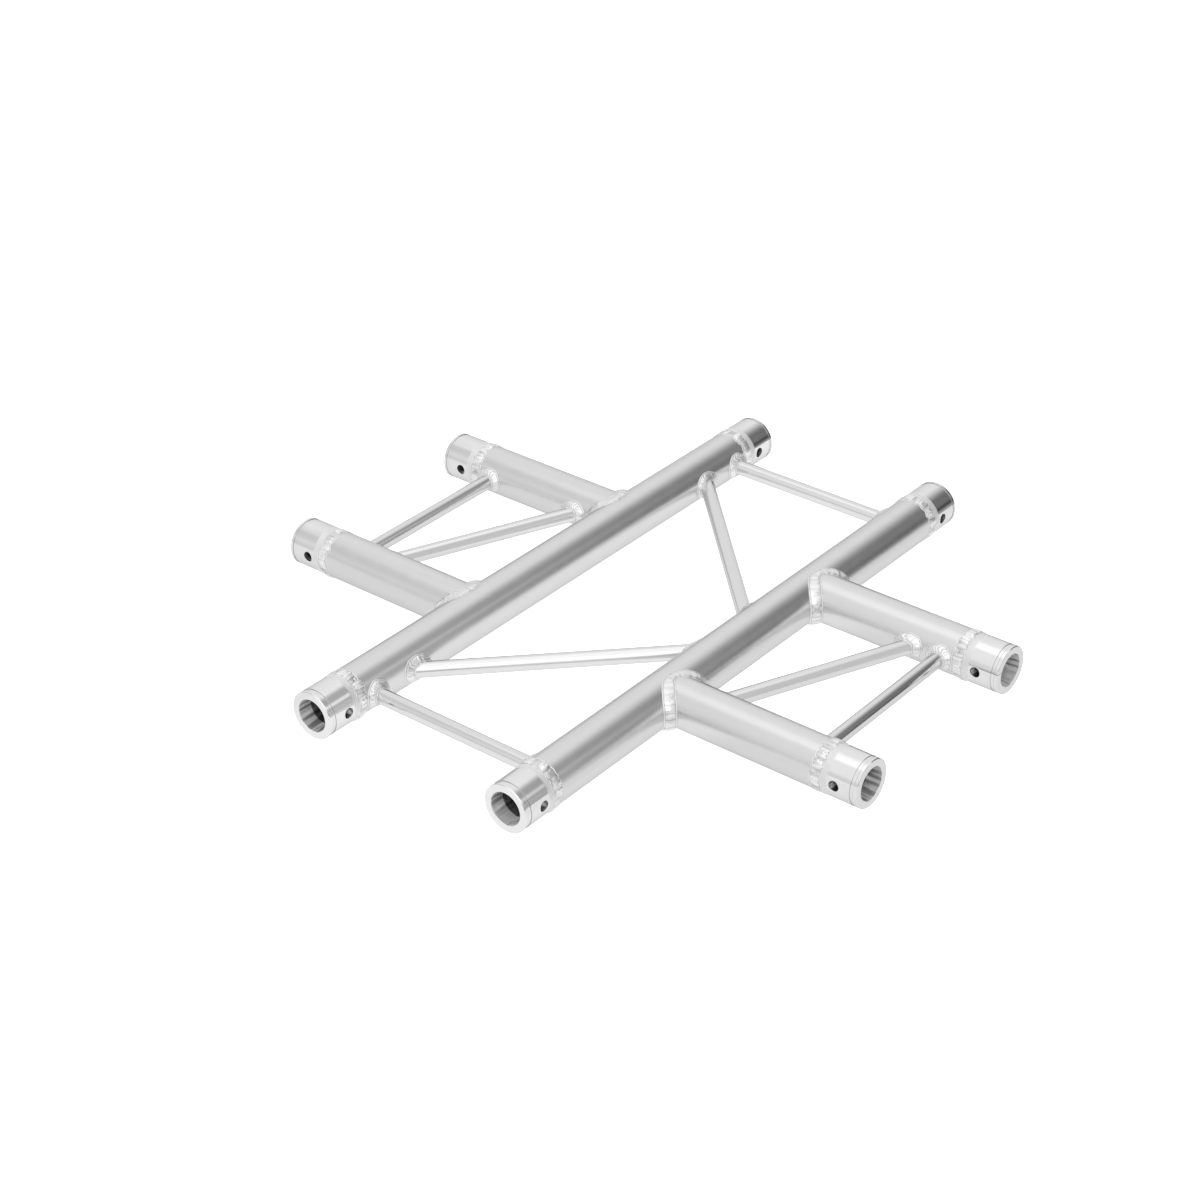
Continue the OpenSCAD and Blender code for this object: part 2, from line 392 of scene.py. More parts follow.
def drawn_tube(t, tone, roughness, line_scale, brushed):
    """Mill finish: drawing lines along Z, broad streaks, smudges, frosted beside the welds."""
    at = own_place(t)
    fine = noise(t, stretched(t, at, line_scale, 5.0), detail=3.0, roughness=0.6)
    broad = noise(t, stretched(t, at, line_scale * 0.15, 2.0))
    blotch = noise(t, at, 45.0, 4.0, 0.62)
    grain = noise(t, at, 1500.0)
    heat = attribute(t, "heat")
    inside = attribute(t, "inside")
    rough = plus(t, spread(t, fine, roughness, 0.03), spread(t, blotch, 0.0, 0.035))
    rough = plus(t, rough, times(t, heat, 0.26), times(t, inside, 0.3))
    level = plus(t, spread(t, fine, tone, 0.02), spread(t, broad, 0.0, 0.038), spread(t, blotch, 0.0, 0.025))
    level = plus(t, level, times(t, heat, 0.05))
    # inner wall rougher and duller, and darkened further with painted shade
    level = times(t, level, mix(t, inside, 1.0, 0.3))
    height = plus(t, times(t, fine, 0.7), times(t, grain, 0.3))
    return {
        "Base Color": grey(t, level),
        "Roughness": rough,
        "Normal": bump(t, height, 0.25, 0.012 * MM),
        "Tangent": round_z(t),
        "Anisotropic": brushed,
    }


def bore_shade(t, at, depth):
    """Painted light and shade of the bore: bands and lines along it as painted reflections, a painted bright
    mouth, and painted shade from 15 mm down.
    """
    bands = noise(t, stretched(t, at, 170.0, 6.0), detail=1.0)
    lines = noise(t, stretched(t, at, 500.0, 8.0), roughness=0.6)
    shade = remap(t, depth, 14.5 * MM, 15.8 * MM, 1.0, 0.14)
    shade = times(t, shade, remap(t, bands, 0.38, 0.62, 0.45, 1.5), remap(t, lines, 0.3, 0.7, 0.8, 1.05))
    return times(t, shade, remap(t, depth, 5.0 * MM, 2.0 * MM, 1.0, 1.3))


def drag_mark(t, x, y, depth):
    """1 on a thin line from beside the pin hole to the rim, on the socket that carries one."""
    line = remap(t, off_by(t, x, -6.0 * MM), 0.6 * MM, 0.2 * MM)
    on_inner_side = remap(t, y, -15.0 * MM, -20.0 * MM)
    short_of_hole = remap(t, depth, 22.5 * MM, 20.5 * MM)
    return times(t, line, on_inner_side, short_of_hole, attribute(t, "drag_mark", "OBJECT"))


def turned_socket(t):
    """Turned: tool marks round Z, bright near the face, satin towards the weld; painted shade inside and in
    the bore.
    """
    at = own_place(t)
    x, y, z = parts(t, at)
    depth = times(t, z, -1.0)
    marks = noise(t, stretched(t, at, 25.0, 2600.0), roughness=0.6)
    bands = noise(t, stretched(t, at, 6.0, 350.0))
    blotch = noise(t, at, 90.0, 4.0, 0.6)
    satin = remap(t, depth, 31.5 * MM, 34.5 * MM)
    inside, bore, hole = (attribute(t, key) for key in ("inside", "bore", "hole"))

    rough = plus(t, mix(t, bands, 0.07, 0.13), mix(t, blotch, -0.02, 0.03), times(t, satin, 0.55))
    rough = plus(t, rough, times(t, inside, 0.35), times(t, hole, 0.2), times(t, bore, 0.15))

    level = plus(t, mix(t, marks, 0.84, 0.91), spread(t, blotch, 0.0, 0.03))
    # painted shade on the parts inside the tube: the relief and the spigot
    level = times(t, level, mix(t, inside, 1.0, 0.12))
    # painted reflections and painted shade in the bore
    level = times(t, level, mix(t, bore, 1.0, bore_shade(t, at, depth)))
    level = calc(t, "MINIMUM", level, 0.95)
    lit_from_outside = remap(t, size_of(t, y), 15.0 * MM, 24.5 * MM, 0.25, 1.05)
    level = times(t, level, mix(t, hole, 1.0, lit_from_outside))
    outside = calc(t, "SUBTRACT", 1.0, bore)
    for edge in (GROOVE_FROM, GROOVE_TO):
        shadow = times(t, remap(t, off_by(t, depth, edge * MM), 0.45 * MM, 0.2 * MM), outside)
        level = times(t, level, mix(t, shadow, 1.0, 0.78))
    level = times(t, level, mix(t, drag_mark(t, x, y, depth), 1.0, 0.45))

    height = plus(t, times(t, marks, 0.6), times(t, bands, 0.4))
    return {
        "Base Color": grey(t, level),
        "Roughness": rough,
        "Metallic": mix(t, bore, 1.0, 0.4),
        "Normal": bump(t, height, mix(t, bore, 0.3, 0.05), 0.015 * MM),
        "Tangent": round_z(t),
        "Anisotropic": mix(t, satin, 0.5, 0.0),
        "Anisotropic Rotation": 0.25,
    }


def as_welded(t):
    """Painted highlights on crests and rims, painted shade in hollows and at the toe line, frosted toes."""
    at = own_place(t)
    speckle = noise(t, at, 900.0, 3.0, 0.65)
    patch = noise(t, at, 160.0, 3.0)
    # painted light and shade of the bead: bright crests and rims, dark hollows
    level = mix(t, attribute(t, "crest"), 0.45, 0.97)
    level = plus(t, level, spread(t, patch, 0.0, 0.1), spread(t, speckle, 0.0, 0.04))
    return {
        "Base Color": grey(t, level),
        "Roughness": plus(t, mix(t, attribute(t, "toe"), 0.27, 0.4), spread(t, patch, 0.0, 0.06)),
        "Metallic": 0.7,
        "Normal": bump(t, speckle, 0.4, 0.08 * MM),
    }


MAIN_TUBE = metal("main_tube", drawn_tube, tone=0.78, roughness=0.25, line_scale=700.0, brushed=0.4)
BRACE_TUBE = metal("brace_tube", drawn_tube, tone=0.81, roughness=0.16, line_scale=1200.0, brushed=0.2)
SOCKET_METAL = metal("machined_socket", turned_socket)
WELD_METAL = metal("weld_metal", as_welded)

# ---------------------------------------------------------------- weld beads

BEAD_STEP = 0.36 * MM  # distance between the cross-sections of a bead
LUMP_LENGTH = 18.0 * MM  # over which a bead changes slowly
CELL_LENGTH = 13.0 * MM  # between the places where the torch was moved on
HIDDEN_DEPTH = 0.7 * MM  # of the underside of a bead, below the surfaces it joins
ROOT_DEPTH = 0.6 * MM  # of the underside of a bead, below its root line
MARGIN = 0.01 * MM  # between a bead and the top and bottom of the CAD
BOW = 1.7  # how far the middle of a ripple runs ahead of its ends, in ripples
# distances in mm from the toe of a bead, and heights in mm
RIPPLES_FROM, RIPPLES_FULL = 1.1, 2.4
RIM_AT, VALLEY_AT, RIM_WIDTH, RIM_HEIGHT = 0.65, 1.6, 0.4, 0.3
TOE_EDGE, TOE_SUNK = 0.05, -0.25
FROST_FULL, FROST_END = 0.8, 2.6
MOUND, MOUND_SPREAD, PIT, PIT_SPREAD = 0.35, 5.0, 0.75, 0.9
# where a cross-section has its points, as shares of its width: close together at the toes
TOE_TO_MIDDLE = [0, 0.02, 0.05, 0.08, 0.11, 0.145, 0.18, 0.22, 0.27, 0.33, 0.39, 0.45, 0.5]
ACROSS = np.array(TOE_TO_MIDDLE + [1 - share for share in TOE_TO_MIDDLE[-2::-1]])
THETA = np.linspace(0, 2 * math.pi, 720, endpoint=False)
ONES = np.ones(len(THETA))
SEEDS = {node: 40 + 7 * i for i, node in enumerate(n for n in NODES if n.endswith("_weld"))}
WELD_POINTS = []


def wave(rng, fraction, turns, count, decay):
    """Smooth random curve round a closed path, at the given fractions of its length."""
    size = rng.normal(0, 1, count) * decay ** np.arange(count)
    phase = rng.uniform(0, 2 * math.pi, count)
    order = np.maximum(1, np.round(turns * (1 + np.arange(count)))).astype(int)
    return (size[:, None] * np.cos(2 * math.pi * order[:, None] * fraction + phase[:, None])).sum(0)


def bend(start, control, stop, s):
    """Quadratic curve from start to stop, for each row."""
    return (1 - s) ** 2 * start[:, None] + 2 * s * (1 - s) * control[:, None] + s ** 2 * stop[:, None]


def lobes(turns, bow):
    """Rounded crests, one to a turn and bowed across the bead: 1 on top, 0 in the notches."""
    phase = turns[:, None] - bow
    phase = phase - np.floor(phase)
    return np.sqrt(np.maximum(0.0, 4 * phase * (1 - phase)))


def bead_relief(
    rng, fraction, total, width, edge, keep, pitch, ripple, lumps, craters, cell=0.0, uneven=0.35
):
    """Height in mm above the plain bead, and painted light and shade from 0 to 1, at each point along and
    across it.

    total is the length of the bead in metres; width, and edge (how far in from the nearer toe), are in mm.
    """
    turns = total / LUMP_LENGTH
    warp = uneven * wave(rng, fraction, turns * 0.6, 3, 0.8)
    bow = BOW * (1 - (2 * ACROSS - 1) ** 2)
    ripples = max(1, round(total / MM / pitch))
    lobe = lobes(fraction * ripples + warp, bow)
    cells = max(1, round(total / CELL_LENGTH))
    cell_lobe = lobes(fraction * cells + 0.6 * warp, 0.12 * bow)
    strength = ripple * (0.75 + 0.35 * np.clip(wave(rng, fraction, turns * 0.4, 3, 0.8), -1.5, 1.5))
    strength = strength[:, None]
    inner = smooth(RIPPLES_FROM, RIPPLES_FULL, edge) * keep

    height = strength * (lobe - 0.75) * inner + cell * (cell_lobe - 0.75) * inner
    # rim where the bead froze against the parent metal, and the hollow inside it
    rim, valley = hump(edge, RIM_AT, RIM_WIDTH), hump(edge, VALLEY_AT, RIM_WIDTH)
    height += RIM_HEIGHT * (rim - 0.9 * valley)
    # uneven metal
    for _ in range(5):
        order = max(1, round(turns * rng.uniform(0.4, 1.6)))
        start, skew = rng.uniform(0, 6.28), rng.uniform(-3, 3)
        lump = np.cos(2 * math.pi * order * fraction[:, None] + start + skew * ACROSS)
        height += lumps * 0.5 * lump * inner
    # starts and stops: a low swelling with a pit in it
    for _ in range(craters):
        at, side = rng.uniform(0, 1), rng.uniform(0.35, 0.65)
        along = ((fraction - at + 0.5) % 1 - 0.5) * total / MM
        sideways = (ACROSS - side) * width[:, None]
        square = along[:, None] ** 2 + sideways ** 2
        height += (MOUND * np.exp(-square / MOUND_SPREAD) - PIT * np.exp(-square / PIT_SPREAD)) * inner
    height = np.where(edge < TOE_EDGE, TOE_SUNK, height)

    # painted light: crests, rim and high spots lighter; painted shade in the notches, the valley and at the
    # toe
    crest = 0.74 + 2.4 * (lobe - 0.72) * inner * strength + 0.7 * cell * (cell_lobe - 0.75) * inner
    crest += 0.6 * rim - 0.55 * valley - 0.6 * hump(edge, 0, 0.25)
    crest += 0.5 * np.clip(height, -0.8, 0.3) * inner
    return height, np.clip(crest, 0, 1)


def bead_mesh(path, normals, directions, legs, snaps, bulge, seed, wander=0.25, calm=None, **shape):
    """Closed weld run along a root line: points, faces, attributes, and the root line spaced evenly.

    Of the normals, the directions away from the root, the legs and the snaps onto the surfaces, the
    first is the host's and the second the branch's, given point by point along the path. Legs, bulge
    and shape settings are in mm. calm, from 0 to 1, smooths the middle of the bead but not its rims.
    """
    rng = np.random.default_rng(seed)
    closed = np.vstack([path, path[:1]])
    travelled = np.concatenate([[0], np.cumsum(gap(closed[:-1], closed[1:]))])
    total = travelled[-1]
    count = int(total / BEAD_STEP)
    fraction = np.arange(count) / count

    def even(values):
        looped = np.vstack([values, values[:1]])
        return np.stack([np.interp(fraction * total, travelled, column) for column in looped.T], 1)

    root = even(path)
    host_normal, branch_normal = (unit(even(normal)) for normal in normals)
    to_host, to_branch = (unit(even(direction)) for direction in directions)
    legs = even(legs)
    turns = total / LUMP_LENGTH
    host_leg = legs[:, :1] + wander * wave(rng, fraction, turns, 4, 0.75)[:, None]
    branch_leg = legs[:, 1:] + wander * wave(rng, fraction, turns, 4, 0.75)[:, None]
    host_toe = snaps[0](root + to_host * host_leg * MM)
    branch_toe = snaps[1](root + to_branch * branch_leg * MM)
    out = unit(host_normal + branch_normal)
    crown = even(bulge[:, None]) * MM * (1 + 0.12 * wave(rng, fraction, turns, 4, 0.8))[:, None]
    control = (host_toe + branch_toe) / 2 + out * 2 * crown
    surface = bend(host_toe, control, branch_toe, ACROSS[:, None])
    normal = unit(bend(host_normal, out, branch_normal, ACROSS[:, None]))
    width = (gap(host_toe, control) + gap(control, branch_toe)) / 2
    width = np.maximum(width, gap(host_toe, branch_toe)) / MM
    edge = np.minimum(ACROSS, 1 - ACROSS) * width[:, None]
    keep = 1.0 if calm is None else 1 - even(calm[:, None])
    height, crest = bead_relief(rng, fraction, total, width, edge, keep, **shape)

    points = surface + normal * (height * MM)[..., None]
    branch_foot, host_foot = branch_toe - branch_normal * HIDDEN_DEPTH, host_toe - host_normal * HIDDEN_DEPTH
    underside = np.stack([branch_foot, root - out * ROOT_DEPTH, host_foot], 1)
    points = np.concatenate([points, underside], 1)
    crest = np.concatenate([crest, np.full((count, 3), 0.5)], 1)
    toe = np.concatenate([1 - smooth(FROST_FULL, FROST_END, edge), np.ones((count, 3))], 1)
    rows, columns = points.shape[:2]
    points = points.reshape(-1, 3)
    points[:, 2] = np.clip(points[:, 2], LOWEST + MARGIN, HIGHEST - MARGIN)
    return points, ring_faces(rows, columns), dict(crest=crest.ravel(), toe=toe.ravel()), root


def square_to(point, axis, points):
    """The part of each point's offset from an axis line that is square to the line."""
    offset = points - point
    return offset - (offset @ axis)[:, None] * axis


def outward(point, axis, points):
    return unit(square_to(point, axis, points))


def snap_to(point, axis, radius):
    """Function that moves points onto a cylinder."""
    return lambda points: points - square_to(point, axis, points) + radius * outward(point, axis, points)


def away(tangent, normal, toward):
    """Direction in the surface, square to the root line, on the side of toward."""
    direction = unit(np.cross(tangent, normal))
    sign = np.sign((direction * toward).sum(1, keepdims=True))
    return direction * np.where(sign == 0, 1, sign)


def add_weld(node, bead):
    points, faces, attributes, root = bead
    WELD_POINTS.append(root[::6])
    add_piece(node, points, faces, WELD_METAL, attributes=attributes)


def joint_weld(node, foot, branch_axis, radius, host, root, legs, bulge, **shape):
    """Weld where a branch tube meets its host. root is how far along the branch they meet, round it."""
    ring = ring_round(branch_axis, THETA)
    path = foot + branch_axis * root[:, None] + ring * radius
    host_normal = outward(host["point"], host["axis"], path)
    tangent = unit(np.roll(path, -1, 0) - np.roll(path, 1, 0))
    out_along = away(tangent, unit(host_normal + ring), np.broadcast_to(branch_axis, path.shape))
    directions = away(tangent, host_normal, -out_along), away(tangent, ring, out_along)
    snaps = snap_to(host["point"], host["axis"], TUBE_R), snap_to(foot, branch_axis, radius)
    add_weld(node, bead_mesh(path, (host_normal, ring), directions, legs, snaps, bulge, SEEDS[node], **shape))


def meeting_line(branch_axis, radius, host):
    """Distance along the branch at which its wall meets the host, for every angle round the branch."""
    side = np.cross(UP, branch_axis)
    normal = np.cross(host["axis"], UP)
    normal = normal * np.sign(normal @ branch_axis)
    reach = np.sqrt(TUBE_R ** 2 - (radius * np.sin(THETA)) ** 2) - radius * np.cos(THETA) * (side @ normal)
    return reach / (normal @ branch_axis)


def saddle_weld(arm):
    """Weld of an arm to its chord. The thin tips of the arm stop short of the chord's centre line."""
    tip_gap = 8.0 * MM
    spec = TUBES[arm]
    level_side = np.abs(np.cos(THETA))  # 1 on the level sides of the arm, 0 on its top and bottom
    spec["root"] = ((TUBE_R * level_side) ** 3 + tip_gap ** 3) ** (1 / 3)
    legs = np.stack([4.8 + 5.6 * level_side, 5.5 + 2.2 * level_side], 1)
    joint_weld(
        arm.replace("_arm", "_saddle_weld"), spec["point"], spec["axis"], TUBE_R, TUBES[spec["host"]],
        spec["root"], legs, 1.0 - 0.1 * level_side, pitch=2.9, ripple=0.14, lumps=0.35, craters=7, cell=0.7,
        calm=0.8 * (1 - smooth(0.6, 0.97, level_side)),
    )


def brace_welds(node):
    """Welds at both feet of a brace. Gives each foot's point, outward axis and meeting line."""
    feet = brace_feet(node)
    ends = []
    for (name, host, foot), (_, _, other) in zip(feet, feet[::-1]):
        axis = unit(other - foot)
        root = meeting_line(axis, BRACE_R, TUBES[host])
        legs = np.outer(ONES, (7.6, 5.6))
        joint_weld(
            f"{node}_{name}_weld", foot, axis, BRACE_R, TUBES[host], root, legs, 0.7 * ONES,
            pitch=2.3, ripple=0.45, lumps=0.3, craters=2,
        )
        ends.append((foot, axis, root))
    return ends


def girth_weld(stem):
    """Weld round a tube where its socket begins."""
    node = stem + "_girth_weld"
    centre, axis, hole = ENDS[stem]
    low, high = corners(node)
    middle = (low + high) / 2
    middle[2] = 0.0
    ring = np.cos(THETA)[:, None] * hole + np.sin(THETA)[:, None] * np.cross(axis, hole)
    to_face = np.broadcast_to(axis, ring.shape)
    legs = np.outer(ONES, (7.4, 6.2))
    snap = snap_to(centre, axis, TUBE_R)
    bead = bead_mesh(
        middle + ring * TUBE_R, (ring, ring), (to_face, -to_face), legs, (snap, snap), 0.85 * ONES,
        SEEDS[node], pitch=3.2, ripple=0.12, lumps=0.5, craters=8, cell=0.6, uneven=0.7, wander=0.55,
    )
    add_weld(node, bead)


for arm in ARMS:
    saddle_weld(arm)
BRACES = {node: brace_welds(node) for node in NODES if node.endswith("_brace")}
for stem in ENDS:
    girth_weld(stem)
WELD_POINTS = np.vstack(WELD_POINTS)

# ---------------------------------------------------------------- tubes

LAP = 0.4 * MM  # how far the end of a tube's wall runs on past the line where it meets its host
TUBE_COLUMNS, BRACE_COLUMNS = 120, 90  # of points round a tube


def heat_near_welds(points, full=6.0 * MM, reach=19.0 * MM, margin=40.0 * MM, batch=2000):
    """1 close to the root line of a weld, falling to 0 at the reach."""
    low, high = points.min(0) - margin, points.max(0) + margin
    close = WELD_POINTS[((WELD_POINTS > low) & (WELD_POINTS < high)).all(1)]
    nearest = []
    for start in range(0, len(points), batch):
        squares = ((points[start : start + batch, None] - close) ** 2).sum(2)
        nearest.append(np.sqrt(squares.min(1)))
    return 1 - smooth(full, reach, np.concatenate(nearest))


def tube_mesh(node, foot, axis, radius, start, stop, material, columns, step=3.0 * MM):
    """Hollow tube. start and stop give, for the angles THETA, where each end of the wall lies."""
    pick = np.arange(columns) * len(THETA) // columns
    first, last = start[pick], stop[pick]
    ring = ring_round(axis, THETA[pick])
    rows = max(4, int((last.mean() - first.mean()) / step))
    share = np.concatenate([[0, 0.002], np.linspace(0.01, 0.99, rows), [0.998, 1]])
    grid = []
    for wall_radius, order in ((radius, share), (radius - WALL, share[::-1])):
        for w in order:
            grid.append(foot + axis * (first * (1 - w) + last * w)[:, None] + ring * wall_radius)
    points = np.concatenate(grid)
    place = placement(foot, axis, np.cross(UP, axis))
    inverse = np.array(place.inverted())
    local = points @ inverse[:3, :3].T + inverse[:3, 3]
    attributes = dict(heat=heat_near_welds(points), inside=np.repeat([0.0, 1.0], len(share) * columns))
    add_piece(node, local, ring_faces(len(grid), columns), material, place, attributes)


def main_tube(node):
    line = TUBES[node]
    if node in ARMS:
        start, stop = line["root"] - LAP, line["length"] * ONES
    else:
        start, stop = -line["half"] * ONES, line["half"] * ONES
    tube_mesh(node, line["point"], line["axis"], TUBE_R, start, stop, MAIN_TUBE, TUBE_COLUMNS)


def brace_tube(node):
    (foot, axis, root), (other, _, far_root) = BRACES[node]
    # the far root line is measured from the other foot, with its angles running the other way
    mirrored = (len(THETA) // 2 - np.arange(len(THETA))) % len(THETA)
    stop = gap(foot, other) - far_root[mirrored] + LAP
    tube_mesh(node, foot, axis, BRACE_R, root - LAP, stop, BRACE_TUBE, BRACE_COLUMNS)


for node in TUBES:
    main_tube(node)
for node in BRACES:
    brace_tube(node)

# ---------------------------------------------------------------- sockets, in mm until the mesh is made

COLUMNS = 128
PATCH = 9  # half the width, in columns, of the square patch of wall round a pin hole
ROWS = 2 * PATCH
OUTER_PATCH, BORE_PATCH = 11.0, 8.0  # half the length of the patch outside and in the bore
OUTER_LIP, BORE_LIP = 0.35, 0.2  # rounding of the edges of a pin hole
CLEAR_RING = 0.15  # between that rounding and the first ring of the flat wall
INWARD_STEPS = (0.2, 0.4, 0.6, 0.78, 0.92)  # of the rings from the patch boundary to the hole
HOLE_STEPS = (0.08, 0.3, 0.6, 0.92)  # of the rings down the wall of the hole
IN_HOLE = 0.12  # points up to this far outside the hole count as its wall
IN_BORE = 1.04  # points up to this many bore radii from the axis count as the bore's wall


def seat_radius(z):
    """Radius of the conical seat at a place along the axis."""
    w = (-z - REGISTER_END) / (SEAT_END - REGISTER_END)
    return BORE_R + w * (SEAT_END_R - BORE_R)


def profile_parts():
    """The closed (radius, z) profile of a socket, in six runs from the mouth outside and back."""
    groove_r = OUTER_R - GROOVE_DEPTH
    spigot_r = OUTER_R - SPIGOT_INSET
    rim = [
        (BORE_R + MOUTH_CHAMFER, 0, 0.15),
        (OUTER_R - RIM_CHAMFER, 0, 0.25),
        (OUTER_R, -RIM_CHAMFER, 0.25),
        (OUTER_R, -GROOVE_FROM, 0.2),
        (groove_r, -GROOVE_FROM, 0.12),
        (groove_r, -GROOVE_TO, 0.12),
        (OUTER_R, -GROOVE_TO, 0.2),
        (OUTER_R, -BODY_L, 0),
        (BORE_R, -20.0, 0),
    ]
    rim = rounded([corner[:2] for corner in rim], [corner[2] for corner in rim])[:-2]
    steps = np.linspace(-1, 1, ROWS + 1)
    outer_patch = [(OUTER_R, -HOLE_AT - step * OUTER_PATCH) for step in steps]
    back = rounded(
        [
            (OUTER_R, -38.0),
            (OUTER_R, -BODY_L),
            (spigot_r, -BODY_L),
            (spigot_r, -SPIGOT_END),
            (RELIEF_R, -SPIGOT_END),
            (RELIEF_R, -RELIEF_FROM),
            (SEAT_END_R, -SEAT_END),
            (SEAT_END_R + 1.0, -SEAT_END + 8),
        ],
        [0, 0.3, 0.2, 0.3, 0.3, 0.3, 0.1, 0],
    )[1:-1]
    bore_patch = [(seat_radius(z), z) for z in -HOLE_AT + steps * BORE_PATCH]
    mouth = rounded(
        [
            (seat_radius(-16.0), -16.0),
            (BORE_R, -REGISTER_END),
            (BORE_R, -MOUTH_CHAMFER),
            (BORE_R + MOUTH_CHAMFER, 0),
        ],
        [0, 0.6, 0.15, 0],
    )[:-1]
    # the rounded outer edge of the back stays light; the rest of it is the inside, darkened with painted
    # shade
    return rim, outer_patch, back[:6], back[6:], bore_patch, mouth


def patch_boundary():
    """The boundary of a patch as (column, row) steps from its centre, walked once round."""
    side = range(-PATCH, PATCH)
    walk = [(PATCH, k) for k in side] + [(-k, PATCH) for k in side]
    return walk + [(-PATCH, -k) for k in side] + [(k, -PATCH) for k in side]


def wall_point(x, z, sign, outer, sink=0.0):
    """Point of the outer wall or the bore, on the side of Y that sign gives, sunk into the metal."""
    radius = OUTER_R - sink if outer else seat_radius(z) + sink
    return x, sign * math.sqrt(radius * radius - x * x), z


def socket_mesh():
    """Points in metres, faces, and which points lie in the dark inside, the bore and the pin hole."""
    runs = profile_parts()
    _, outer_start, _, dark_start, bore_start, _ = np.cumsum([0] + [len(run) for run in runs])[:-1]
    profile = [tuple(point) for run in runs for point in run]
    rows, half_turn = len(profile), COLUMNS // 2
    # the pin hole runs along Y, where the angle is 0
    turn = np.arange(COLUMNS) * 2 * math.pi / COLUMNS
    points = [(r * math.sin(a), r * math.cos(a), z) for r, z in profile for a in turn]
    skip = {
        (start + i, (centre + j) % COLUMNS)
        for start in (outer_start, bore_start)
        for centre in (0, half_turn)
        for i in range(ROWS)
        for j in range(-PATCH, PATCH)
    }
    faces = ring_faces(rows, COLUMNS, skip)
    walk = patch_boundary()
    circle = [math.atan2(b, a) for a, b in walk]

    def join(ring, following):
        for i in range(len(walk)):
            m = (i + 1) % len(walk)
            faces.append((ring[i], ring[m], following[m], following[i]))

    def grow(ring, layer):
        """Add a ring of points, joined to the ring before it."""
        points.extend(layer)
        following = list(range(len(points) - len(walk), len(points)))
        join(ring, following)
        return following

    def hole_rings(sign, start, outer):
        """Rings from the patch boundary in to the edge of the hole and over it; returns the last."""
        centre = 0 if sign > 0 else half_turn
        rising = -1 if outer else 1  # rows of the outer patch run towards -Z, those of the bore towards +Z
        lip = OUTER_LIP if outer else BORE_LIP

        def hole_ring(radius, sink=0.0):
            places = [(sign * radius * math.cos(a), -HOLE_AT + radius * math.sin(a)) for a in circle]
            return [wall_point(x, z, sign, outer, sink) for x, z in places]

        ring = [(start + PATCH + rising * b) * COLUMNS + (centre + a) % COLUMNS for a, b in walk]
        edge = [points[i] for i in ring]
        goal = hole_ring(HOLE_R + lip + CLEAR_RING)
        for w in INWARD_STEPS:
            places = [(p[0] + (q[0] - p[0]) * w, p[2] + (q[2] - p[2]) * w) for p, q in zip(edge, goal)]
            ring = grow(ring, [wall_point(x, z, sign, outer) for x, z in places])
        ring = grow(ring, goal)
        for a in np.linspace(0, math.pi / 2, 5):
            ring = grow(ring, hole_ring(HOLE_R + lip * (1 - math.sin(a)), lip * (1 - math.cos(a))))
        return ring

    for sign in (1, -1):
        top, low = hole_rings(sign, outer_start, True), hole_rings(sign, bore_start, False)
        above, below = (np.array([points[i] for i in ring]) for ring in (top, low))
        ring = top
        for w in HOLE_STEPS:
            ring = grow(ring, [tuple(point) for point in above + (below - above) * w])
        join(ring, low)

    used = sorted({i for face in faces for i in face})
    index = {old: new for new, old in enumerate(used)}
    kept_points = np.array([points[i] for i in used])
    kept_faces = [tuple(index[i] for i in face) for face in faces]
    row = np.array(used) // COLUMNS
    added = row >= rows
    in_bore = np.hypot(kept_points[:, 0], kept_points[:, 1]) < IN_BORE * seat_radius(-HOLE_AT)
    in_hole = np.hypot(kept_points[:, 0], kept_points[:, 2] + HOLE_AT) < HOLE_R + IN_HOLE
    marks = dict(
        inside=(row >= dark_start) & (row < bore_start - 2),
        bore=(~added & (row >= bore_start - 2)) | (added & in_bore),
        hole=added & in_hole,
    )
    return kept_points * MM, kept_faces, {key: value.astype(float) for key, value in marks.items()}


socket_points, socket_faces, socket_marks = socket_mesh()
for stem, (centre, axis, hole) in ENDS.items():
    place = placement(centre, axis, hole)
    piece = add_piece(
        stem + "_socket", socket_points, socket_faces, SOCKET_METAL, place, socket_marks
    )
    piece["drag_mark"] = 1.0 if stem == "right_rear_arm" else 0.0

# ---------------------------------------------------------------- studio, floor and camera

# level directions
TOWARD_CAMERA = (-0.77, -0.64, 0.0)
VIEW_RIGHT = (0.64, -0.77, 0.0)
REAR_RIGHT = (0.77, -0.64, 0.0)
WHITE = (1, 1, 1, 1)


def lamp(t, ray, direction, outer, inner):
    """1 within the inner angle of a direction, 0 beyond the outer one, in degrees."""
    return remap(t, dot(t, ray, direction), math.cos(math.radians(outer)), math.cos(math.radians(inner)))


